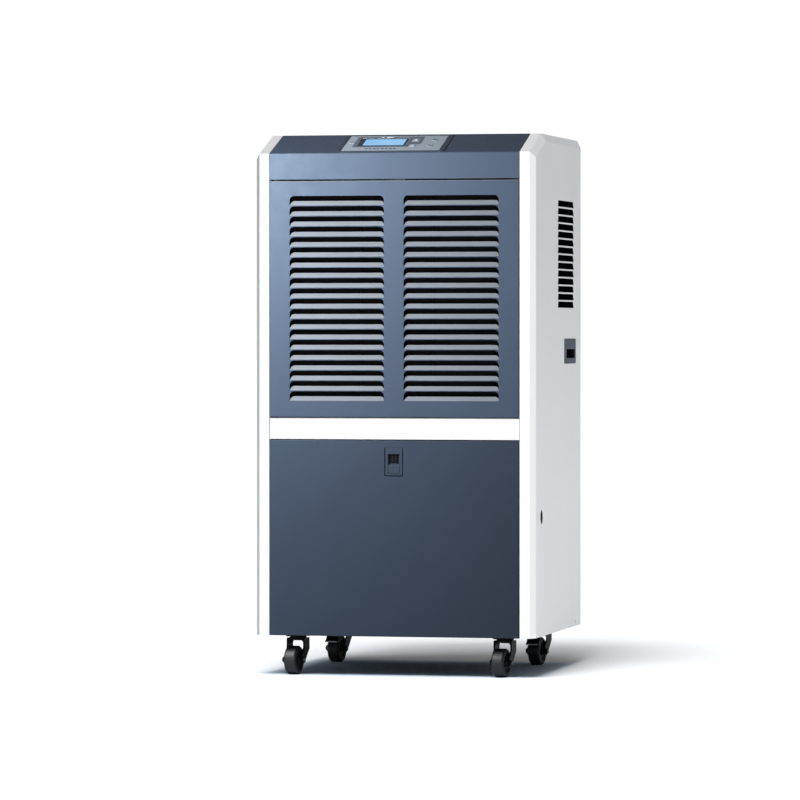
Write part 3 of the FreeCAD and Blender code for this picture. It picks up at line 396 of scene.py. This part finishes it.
MATERIALS = {
    # both side panels carry painted shade on faces turned to the side: 0.93 on the right, 0.62 on
    # the left
    "white": paint("white_powder_coat", painted_side_shade=dict(gain=0.93, between=(0.80, 0.95)),
                   **WHITE_COAT),
    "white_left": paint("white_powder_coat_shaded_left",
                        painted_side_shade=dict(gain=0.62, between=(-0.45, -0.62)), **WHITE_COAT),
    "slate": paint("slate_powder_coat", matt_top=True, **UPPER_SLATE),
    # the grille: a little painted shade toward the lower right, and a painted highlight on the
    # louvre faces
    "slate_grille": paint("slate_grille_coat", painted_falloff=0.12, slope_highlight=srgb("5B5F65"), **UPPER_SLATE),
    "slate_low": paint("slate_lower_coat", wear=0.22, **LOWER_SLATE),
    # the latch plate carries a painted-shade line at its sides and foot
    "latch": paint("latch_plate_coat", wear=0.1,
                   rim=dict(half_width=0.01500, foot=0.35170), **LOWER_SLATE),
    "steel": steel("galvanised_sheet", (0.52, 0.54, 0.56, 1), rough=0.38, spangle=True),
    "dark_steel": paint("black_e_coat", srgb("1B1D20"), rough=0.5, peel=0.12, wear=0.3,
                        wear_color=srgb("5A5D60")),
    "inner_black": paint("inner_black_coat", srgb("08090B"), rough=0.85, peel=0.15, wear=0.1,
                         wear_color=srgb("202225"), specular=0.15),
    "bright": steel("bright_zinc", (0.62, 0.63, 0.65, 1), rough=0.28, spangle=False),
    "black": plastic("black_moulded", srgb("17191D"), rough=0.48),
    "bezel": plastic("bezel_moulded", srgb("1D2632"), grain=0.25, specular=0.3),
    "face": plastic("overlay_grey", srgb("727B85"), grain=0.16, **FASCIA_GREY),
    "key": plastic("key_cap", srgb("6B747E"), grain=0.14, **FASCIA_GREY),
    "print_dark": plastic("print_dark_grey", srgb("474E57"), rough=0.6, grain=0.10,
                          scale=2600.0, var=0.03, specular=0.12),
    "ink": plastic("ink_black", srgb("1A1D21"), rough=0.9, var=0.03, specular=0.03,
                   **FLAT_PRINT),
    "ink_white": plastic("ink_white", srgb("E8ECEF"), var=0.02, **FLAT_PRINT),
    "caster": paint("caster_black_coat", srgb("131416"), rough=0.42, peel=0.14, wear=0.35,
                    wear_color=srgb("4A4D50")),
    "tyre": rubber("caster_tread", srgb("090C10"), rough=0.5),
    "fork": plastic("caster_fork_black", srgb("050609"), rough=0.45, specular=0.08),
    "hub": plastic("caster_hub", srgb("0E1013"), specular=0.25),
    "rubber": rubber("black_rubber", srgb("131415")),
    "copper": copper("drawn_copper"),
    "cloth": woven("nylon_mesh", axes=(0, 2), frequency=2600.0, strength=0.8,
                   distance=0.0006, specular=0.12,
                   colors=((0.001, 0.001, 0.0012), (0.002, 0.002, 0.0024),
                           (0.010, 0.011, 0.013))),
    "pcb": plastic("solder_mask", srgb("1D4A2A"), rough=0.35, grain=0.3, scale=500.0),
    "handle": moulded_handle("handle_moulded"),
    "foam": plastic("closed_cell_foam", srgb("DEDDD6"), rough=0.9, grain=0.9, scale=900.0),
    "lcd": lit_display("lcd_lit"),
    "lcd_glass": plastic("lcd_window_black", srgb("0A131E"), rough=0.16, grain=0.03,
                         scale=1800.0, specular=0.18),
    "tank": tank_plastic("tank_polypropylene", srgb("DCE4E8"), transmission=0.35),
    "tray": tank_plastic("tray_polystyrene", srgb("C9CDD0"), transmission=0.0),
    "fins": fin_stock("rolled_fin_stock"),
    # pale rubber for the strip on the brake plate's lip, a painted highlight
    "lip": rubber("brake_lip_highlight_rubber", srgb("8D9399"), rough=0.6),
    "pocket": plastic("latch_pocket", srgb("0D0E12"), rough=0.6, specular=0.08),
    "pedal": plastic("pedal_moulded", srgb("0C0E11"), rough=0.42, specular=0.25),
    # near-black mesh behind the side louvres, painted shade for the cabinet's dark inside
    "screen": woven("vent_shade_screen_mesh", axes=(1, 2), frequency=1500.0, strength=0.6,
                    distance=0.0005, specular=0.0,
                    colors=((0.0004, 0.0004, 0.0006), (0.0006, 0.0006, 0.0009),
                            (0.0022, 0.0024, 0.0030))),
}

# material of each CAD piece
ASSIGNMENTS = {
    "white": ["side_panel_right", "cross_band"],
    "white_left": ["side_panel_left"],
    "slate": ["top_cover", "rear_panel"],
    "slate_grille": ["front_grille"],
    "slate_low": ["drawer_front", "latch_slider"],
    "latch": ["latch_housing"],
    "steel": ["drawer_tray", "electric_box", "mid_shelf"],
    "dark_steel": ["base_pan", "cabinet_frame", "fan_motor_bracket", "compressor", "fan_motor"],
    "inner_black": ["fan_shroud", "filter_frame"],
    "bright": ["drawer_rails_fixed", "drawer_rails_mid", "drawer_rails_inner", "panel_screws"],
    "black": ["cord_bay", "fan_impeller"],
    "handle": ["side_handle_left", "side_handle_right"],
    "bezel": ["control_bezel"],
    "face": ["control_faceplate"],
    "key": ["key_power", "key_mode", "key_timer", "key_up", "key_down"],
    "lcd_glass": ["lcd_screen"],
    "pcb": ["control_board"],
    "tank": ["water_tank"],
    "tray": ["drip_tray"],
    "hub": ["tank_handle"],
    "foam": ["float_arm"],
    "fins": ["evaporator_fins", "condenser_fins"],
    "copper": ["evaporator_tubes", "condenser_tubes", "refrigerant_pipes"],
    "rubber": ["compressor_mounts", "drain_hose", "power_cord"],
    "cloth": ["filter_mesh"],
    "fork": ["caster_plates"] + ["caster_fork_" + corner for corner in CORNERS],
    "tyre": ["caster_wheel_" + corner for corner in CORNERS],
    "pedal": ["brake_pedal_rear_left", "brake_pedal_rear_right"],
}
for material_key, node_names in ASSIGNMENTS.items():
    for node_name in node_names:
        slots = NODES[node_name].data.materials
        slots.clear()
        slots.append(MATERIALS[material_key])
bare = set(NODES) - {name for names in ASSIGNMENTS.values() for name in names}
if bare:
    raise SystemExit("no material for " + ", ".join(sorted(bare)))


# ------------------------------------------------------------------ mesh helpers
# These stand a flat outline up: (x, z) with its thickness along Y, (y, z) along X.
STAND_XZ = Matrix(((1, 0, 0, 0), (0, 0, 1, 0), (0, 1, 0, 0), (0, 0, 0, 1)))
STAND_YZ = Matrix(((0, 0, 1, 0), (1, 0, 0, 0), (0, 1, 0, 0), (0, 0, 0, 1)))


def add_piece(name, bm, material, body, place=Matrix.Identity(4), recalc=True):
    """Turn a bmesh into an object that rides on a body and fills a slot."""
    if recalc:
        bmesh.ops.recalc_face_normals(bm, faces=bm.faces)
    bmesh.ops.transform(bm, matrix=place, verts=bm.verts)
    mesh = bpy.data.meshes.new(name)
    bm.normal_update()
    bm.to_mesh(mesh)
    bm.free()
    piece = bpy.data.objects.new(name, mesh)
    COL.objects.link(piece)
    mesh.materials.append(MATERIALS[material])
    bpy.context.view_layer.update()
    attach(piece, body)
    return piece


def prism(bm, outline, low, high, stand=None):
    """Closed prism over a 2-D outline."""
    bottom = [bm.verts.new((x, y, low)) for x, y in outline]
    top = [bm.verts.new((x, y, high)) for x, y in outline]
    bm.faces.new(bottom[::-1])
    bm.faces.new(top)
    for i in range(len(outline)):
        j = (i + 1) % len(outline)
        bm.faces.new((bottom[i], bottom[j], top[j], top[i]))
    if stand is not None:
        bmesh.ops.transform(bm, matrix=stand, verts=bottom + top)


def ring(bm, inner, outer, low, high, segments=48):
    """Square-section ring around the local Z axis."""
    turns = [2 * math.pi * i / segments for i in range(segments)]
    loops = [[bm.verts.new((r * math.cos(turn), r * math.sin(turn), z)) for turn in turns]
             for r, z in ((inner, low), (outer, low), (outer, high), (inner, high))]
    for a in range(4):
        b = (a + 1) % 4
        for i in range(segments):
            j = (i + 1) % segments
            bm.faces.new((loops[a][i], loops[a][j], loops[b][j], loops[b][i]))


def polar(radius, degrees):
    return radius * math.cos(math.radians(degrees)), radius * math.sin(math.radians(degrees))


def rounded_rect(x0, x1, y0, y1, radius, segments=5):
    centres = ((x1 - radius, y0 + radius, -90), (x1 - radius, y1 - radius, 0),
               (x0 + radius, y1 - radius, 90), (x0 + radius, y0 + radius, 180))
    outline = []
    for x, y, start in centres:
        for i in range(segments + 1):
            dx, dy = polar(radius, start + 90 * i / segments)
            outline.append((x + dx, y + dy))
    return outline


def arc_band(inner, outer, start, end, segments=14):
    """Band around the origin between two angles in degrees."""
    angles = [start + (end - start) * i / segments for i in range(segments + 1)]
    return [polar(outer, a) for a in angles] + [polar(inner, a) for a in reversed(angles)]


def mirrored(side, near, far):
    """Ordered span between two distances on one side (+1 or -1) of zero."""
    return sorted((side * near, side * far))


# ------------------------------------------------------------------ control fascia
# Outlines and heights are millimetres in the fascia's frame: x across, y up the slope.
FASCIA_RISE, FASCIA_RUN = 35.0, 100.0
FASCIA = (Matrix.Translation((0, -0.225, 0.915))
          @ Matrix.Rotation(math.atan2(FASCIA_RISE, FASCIA_RUN), 4, "X"))
FACE = 0.6               # top of the faceplate
DARK_TOP = 0.72          # top of the dark print
LIT_LOW, LIT_HIGH = 0.30, 0.42
KEY_TOP = 1.2
INK = 0.08
LEGEND_INK = 0.10
ZONE_LOW, ZONE_HIGH = 31.0, 91.0

# dark print around the display and two keys: x0, x1, y0, y1, corner radius
DARK_ZONE = (
    (-82.0, -74.3, ZONE_LOW, ZONE_HIGH, 0.8),
    (12.3, 16.8, ZONE_LOW, ZONE_HIGH, 0.8),
    (16.8, 34.2, 46.0, 60.0, 0.3),
    (16.8, 34.2, 78.0, ZONE_HIGH, 0.3),
    (16.8, 18.6, 60.0, 78.0, 0.2),
    (32.4, 34.2, 60.0, 78.0, 0.2),
    (34.2, 38.0, 46.0, ZONE_HIGH, 0.8),
    (16.8, 18.6, ZONE_LOW, 46.0, 0.2),
    (-74.3, 12.3, 84.3, ZONE_HIGH, 0.5),
    (-74.3, 12.3, ZONE_LOW, 35.7, 0.5),
)
LIT_AREA = (-65.2, 7.4, 42.0, 77.6, 0.8)
UPPER_MARKS = ((-40, -35, 86.2, 88.2, 0.4), (-31, -18, 86.2, 88.2, 0.4))
LEGEND_START, LEGEND_PITCH = -56, 7.2
LEGEND_WIDTHS = (4.6, 3.6)    # alternating

DROP = [(0, 3.0), (-1.5, 0.3), (-1.9, -0.8), (-1.3, -2.1),
        (0, -2.6), (1.3, -2.1), (1.9, -0.8), (1.5, 0.3)]
# icon, key centre, material, outlines around that centre
ICONS = (
    ("power", (-87.0, 58.0), "ink",
     [arc_band(1.7, 2.4, 120, 420), rounded_rect(-0.35, 0.35, 0.4, 3.0, 0.2)]),
    ("mode", (25.5, 69.0), "ink_white", [DROP]),
    ("timer", (25.5, 37.0), "ink_white",
     [arc_band(1.9, 2.6, 0, 359, segments=28), rounded_rect(-0.3, 0.3, -0.2, 1.6, 0.2),
      rounded_rect(0, 1.3, -0.3, 0.3, 0.2)]),
    ("up", (58.0, 71.0), "ink", [[(-3.4, -1.6), (3.4, -1.6), (0, 2.6)]]),
    ("down", (56.0, 37.0), "ink", [[(3.4, 1.8), (-3.4, 1.8), (0, -2.6)]]),
)


def fascia_piece(name, outlines, low, high, material, body="cabinet"):
    bm = bmesh.new()
    for outline in outlines:
        prism(bm, [(x / 1000, y / 1000) for x, y in outline], low / 1000, high / 1000)
    add_piece(name, bm, material, body, place=FASCIA, recalc=False)


def build_fascia():
    fascia_piece("fascia_dark_zone", [rounded_rect(*row) for row in DARK_ZONE],
                 FACE, DARK_TOP, "print_dark")
    fascia_piece("lcd_lit_area", [rounded_rect(*LIT_AREA)], LIT_LOW, LIT_HIGH, "lcd")
    legend = []
    for i in range(8):
        x = LEGEND_START + i * LEGEND_PITCH
        legend.append(rounded_rect(x, x + LEGEND_WIDTHS[i % 2], 19.6, 23.6, 0.5))
    fascia_piece("fascia_legend_marks", legend, FACE, FACE + LEGEND_INK, "ink")
    fascia_piece("fascia_upper_marks", [rounded_rect(*row) for row in UPPER_MARKS],
                 DARK_TOP, DARK_TOP + INK, "ink_white")
    for icon, (key_x, key_y), material, outlines in ICONS:
        placed = [[(key_x + x, key_y + y) for x, y in outline] for outline in outlines]
        fascia_piece("icon_" + icon, placed, KEY_TOP, KEY_TOP + INK, material,
                     body="key_" + icon)


build_fascia()

# ------------------------------------------------------------------ side vent shade screens
SCREEN_OUTLINE = (-0.0125, 0.156, 0.641, 0.839, 0.002)    # y0, y1, z0, z1, corner radius
SCREEN_X = (0.2452, 0.2458)    # distances from the middle plane
RIM_X = (SCREEN_X[1], 0.2478)
RIM_Y, RIM_Z = (-0.0150, 0.1585), (0.6390, 0.8420)
OPENING_Y, OPENING_Z = (-0.0120, 0.1555), (0.6420, 0.8380)
RIM_STRIPS = (
    (*RIM_Y, OPENING_Z[1], RIM_Z[1]),
    (*RIM_Y, RIM_Z[0], OPENING_Z[0]),
    (RIM_Y[0], OPENING_Y[0], *OPENING_Z),
    (OPENING_Y[1], RIM_Y[1], *OPENING_Z),
)


def build_vent_shade_screen(side, tag):
    """Near-black screen close behind the side louvres, with a thin rim: painted shade for the dark
    inside of the cabinet.
    """
    bm = bmesh.new()
    prism(bm, rounded_rect(*SCREEN_OUTLINE), *mirrored(side, *SCREEN_X), stand=STAND_YZ)
    screen = add_piece("side_vent_shade_screen_" + tag, bm, "screen", "cabinet")
    bm = bmesh.new()
    for strip in RIM_STRIPS:
        prism(bm, rounded_rect(*strip, 0.0004), *mirrored(side, *RIM_X), stand=STAND_YZ)
    add_piece("side_vent_rim_" + tag, bm, "black", "cabinet")
    return screen


SCREENS = [build_vent_shade_screen(1, "right"), build_vent_shade_screen(-1, "left")]

# ------------------------------------------------------------------ casters
CASTER_YAW = math.radians(-6.0)
CASTER_X, FRONT_Y, REAR_Y = 0.186, -0.166, 0.163
AXLE_Y, AXLE_Z = -0.022, 0.025    # from the swivel axis, above the floor
# distances along the axle
DISC_FACE, RIM_FACE, DUST_FACE, RIB_FACE = 0.0080, 0.0098, 0.0104, 0.0093
NUT_SPAN = (0.0188, 0.0207)
# radii
RIM_RING, DUST_RING, RIB_REACH = (0.0158, 0.0181), (0.0068, 0.0088), (0.0086, 0.0160)
NUT_RADIUS = 0.0046
RIB_COUNT, RIB_START, RIB_HALF = 5, 0.3, 0.0013    # start in radians, half width
LIP_HALF_LENGTH, LIP_HALF_WIDTH, LIP_THICK = 0.0105, 0.00095, 0.0005
LIP_PLACE, LIP_TILT = (0, -0.05355, 0.03855), 90 + 17


def build_disc_ribs(tag, axle):
    """Raised rim ring, dust ring and ribs on both wheel faces."""
    bm = bmesh.new()
    for side in (1, -1):
        ring(bm, *RIM_RING, *mirrored(side, DISC_FACE, RIM_FACE))
        ring(bm, *DUST_RING, *mirrored(side, DISC_FACE, DUST_FACE), segments=32)
        for k in range(RIB_COUNT):
            turn = 2 * math.pi * k / RIB_COUNT + RIB_START
            c, s = math.cos(turn), math.sin(turn)
            near, far = RIB_REACH
            corners = ((near, RIB_HALF), (far, RIB_HALF), (far, -RIB_HALF), (near, -RIB_HALF))
            outline = [(r * c + w * s, r * s - w * c) for r, w in corners]
            prism(bm, outline, *mirrored(side, DISC_FACE, RIB_FACE))
    add_piece("wheel_disc_ribs_" + tag, bm, "hub", "wheel_" + tag, place=axle)


def build_axle_nuts(tag, axle):
    """Hexagon nuts on the outside of the fork."""
    bm = bmesh.new()
    hexagon = [polar(NUT_RADIUS, 60 * k + 20) for k in range(6)]
    for side in (1, -1):
        prism(bm, hexagon, *mirrored(side, *NUT_SPAN))
    add_piece("axle_nuts_" + tag, bm, "caster", "caster_" + tag, place=axle)


def build_brake_lip_highlight(tag, base):
    """Pale strip along the lip of the brake plate: a painted highlight on that edge."""
    bm = bmesh.new()
    x, y = LIP_HALF_LENGTH, LIP_HALF_WIDTH
    prism(bm, [(-x, -y), (x, -y), (x, y), (-x, y)], 0, LIP_THICK)
    lip = base @ Matrix.Translation(LIP_PLACE) @ Matrix.Rotation(math.radians(LIP_TILT), 4, "X")
    add_piece("brake_lip_highlight_strip_" + tag, bm, "lip", "brake_" + tag, place=lip)


for corner in CORNERS:
    swivel = (-CASTER_X if corner.endswith("left") else CASTER_X,
              FRONT_Y if corner.startswith("front") else REAR_Y, 0)
    caster_base = Matrix.Translation(swivel) @ Matrix.Rotation(CASTER_YAW, 4, "Z")
    caster_axle = (caster_base @ Matrix.Translation((0, AXLE_Y, AXLE_Z))
                   @ Matrix.Rotation(math.radians(90), 4, "Y"))
    build_disc_ribs(corner, caster_axle)
    build_axle_nuts(corner, caster_axle)
    if corner.startswith("rear"):
        build_brake_lip_highlight(corner, caster_base)

# ------------------------------------------------------------------ latch pocket
RIB_LEFTS, RIB_WIDTH, RIB_Z = (-0.0046, 0.0012), 0.0034, (0.3735, 0.3868)
BACK_HALF_WIDTH, BACK_Z = 0.0088, (0.3724, 0.3878)
RIB_FRONT, BACK_FRONT, BACK_REAR = -0.2213, -0.2196, -0.2190    # along Y
POCKET_RADIUS = 0.0006


def build_latch_pocket():
    """Two upright ribs in front of a back plate."""
    bm = bmesh.new()
    for left in RIB_LEFTS:
        prism(bm, rounded_rect(left, left + RIB_WIDTH, *RIB_Z, POCKET_RADIUS),
              RIB_FRONT, BACK_FRONT, stand=STAND_XZ)
    prism(bm, rounded_rect(-BACK_HALF_WIDTH, BACK_HALF_WIDTH, *BACK_Z, POCKET_RADIUS),
          BACK_FRONT, BACK_REAR, stand=STAND_XZ)
    add_piece("latch_pocket_ribs", bm, "pocket", "latch")


build_latch_pocket()


# ------------------------------------------------------------------ floor and world
def build_floor():
    bm = bmesh.new()
    bmesh.ops.create_grid(bm, x_segments=8, y_segments=8, size=60.0)
    mesh = bpy.data.meshes.new("floor")
    bm.to_mesh(mesh)
    bm.free()
    plane = bpy.data.objects.new("floor", mesh)
    plane.location = (0, 30, 0)
    mesh.materials.append(studio_floor("studio_floor"))
    COL.objects.link(plane)
    return plane


def build_world():
    """Sky dark at the horizon and brighter overhead; the camera sees plain white."""
    world = bpy.data.worlds.new("studio")
    SCENE.world = world
    world.use_nodes = True
    nodes, link = world.node_tree.nodes, world.node_tree.links.new
    nodes.clear()
    output = nodes.new("ShaderNodeOutputWorld")
    sky = nodes.new("ShaderNodeBackground")
    backdrop = nodes.new("ShaderNodeBackground")
    switch = nodes.new("ShaderNodeMixShader")
    light_path = nodes.new("ShaderNodeLightPath")
    coordinates = nodes.new("ShaderNodeTexCoord")
    axes = nodes.new("ShaderNodeSeparateXYZ")
    strength = nodes.new("ShaderNodeMapRange")
    link(coordinates.outputs["Generated"], axes.inputs[0])
    link(axes.outputs[2], strength.inputs[0])
    height_range, strength_range = (0.02, 0.55), (0.02, 0.30)
    for socket, value in zip(strength.inputs[1:5], height_range + strength_range):
        socket.default_value = value
    link(strength.outputs[0], sky.inputs["Strength"])
    sky.inputs["Color"].default_value = (0.96, 0.962, 0.968, 1)
    backdrop.inputs["Color"].default_value = (1, 1, 1, 1)
    backdrop.inputs["Strength"].default_value = 1.05
    link(light_path.outputs["Is Camera Ray"], switch.inputs[0])
    link(sky.outputs[0], switch.inputs[1])
    link(backdrop.outputs[0], switch.inputs[2])
    link(switch.outputs[0], output.inputs[0])


floor = build_floor()
build_world()


# ------------------------------------------------------------------ lights
def receivers(name, objects, exclude=False):
    """Collection of the objects a light reaches, or of those it leaves out."""
    group = bpy.data.collections.new(name)
    for member in objects:
        group.objects.link(member)
    if exclude:
        for entry in group.collection_objects:
            entry.light_linking.link_state = "EXCLUDE"
    return group


def add_light(light, location, target, group):
    lamp = bpy.data.objects.new(light.name, light)
    lamp.location = location
    direction = Vector(target) - Vector(location)
    lamp.rotation_euler = direction.to_track_quat("-Z", "Y").to_euler()
    COL.objects.link(lamp)
    lamp.light_linking.receiver_collection = group
    return lamp


def area(name, location, target, size, power, color, group):
    light = bpy.data.lights.new(name, "AREA")
    light.shape = "RECTANGLE"
    light.size, light.size_y = size
    light.energy = power
    light.color = color
    light.spread = math.radians(180)
    add_light(light, location, target, group).visible_camera = False


def floor_sun(name, location, power, angle, color=(1, 1, 1)):
    light = bpy.data.lights.new(name, "SUN")
    light.energy = power
    light.angle = math.radians(angle)
    light.color = color
    add_light(light, location, (0, 0, 0), floor_only)


# pale pieces, which have a fill of their own a little to the right of the front
PALE_NODES = [
    "side_panel_left", "side_panel_right", "cross_band", "water_tank", "drawer_tray",
    "drawer_rails_fixed", "drawer_rails_mid", "drawer_rails_inner", "float_arm", "drip_tray",
    "mid_shelf", "electric_box", "evaporator_fins", "condenser_fins",
]
# dark pieces that the key and the front fill leave out
DARK_NODES = ["filter_frame", "filter_mesh", "fan_shroud", "caster_plates"]
DARK_NODES += [n for n in NODES if n.startswith(("caster_fork", "brake_pedal"))]

floor_only = receivers("floor_light_receivers", [floor])
main_pieces = receivers("key_receivers",
                        [floor] + [NODES[n] for n in PALE_NODES + DARK_NODES] + SCREENS,
                        exclude=True)
pale_only = receivers("panel_light_receivers", [NODES[n] for n in PALE_NODES])

area("key_softbox", (-0.62, -0.98, 1.02), target=(-0.12, -0.2, 0.76), size=(0.36, 0.36),
     power=45, color=(1.0, 0.995, 0.985), group=main_pieces)
area("panel_top_light", (0.1, -0.5, 3.4), target=(0, 0, 0.9), size=(1.2, 1.0),
     power=31, color=(0.98, 0.995, 1.0), group=pale_only)
area("panel_fill", (0.90, -4.4, 0.45), target=(0, 0, 0.45), size=(1.6, 1.2),
     power=91, color=(1.0, 0.985, 0.97), group=pale_only)
area("front_fill", (0.75, -4.4, 0.60), target=(0, 0, 0.5), size=(1.4, 1.0),
     power=20, color=(1.0, 0.995, 0.985), group=main_pieces)
floor_sun("floor_light_front", (-0.05, -1.0, 1.6), power=1.55, angle=18)
floor_sun("floor_light_top", (-0.45, -1.6, 3.0), power=2.15, angle=46,
          color=(0.92, 0.97, 1.03))


# ------------------------------------------------------------------ camera
def build_camera():
    """Long lens, level, looking from the front and a little to the right."""
    lens = bpy.data.cameras.new("camera")
    lens.sensor_width = 36
    lens.lens = 222.75
    lens.shift_y = -0.088
    lens.clip_end = 200
    camera = bpy.data.objects.new("camera", lens)
    camera.location = (1.894, -8.648, 0.606)
    camera.rotation_euler = (math.radians(90), 0, math.radians(12.6))
    COL.objects.link(camera)
    SCENE.camera = camera


build_camera()
SCENE.view_settings.view_transform = "Standard"
SCENE.view_settings.look = "None"
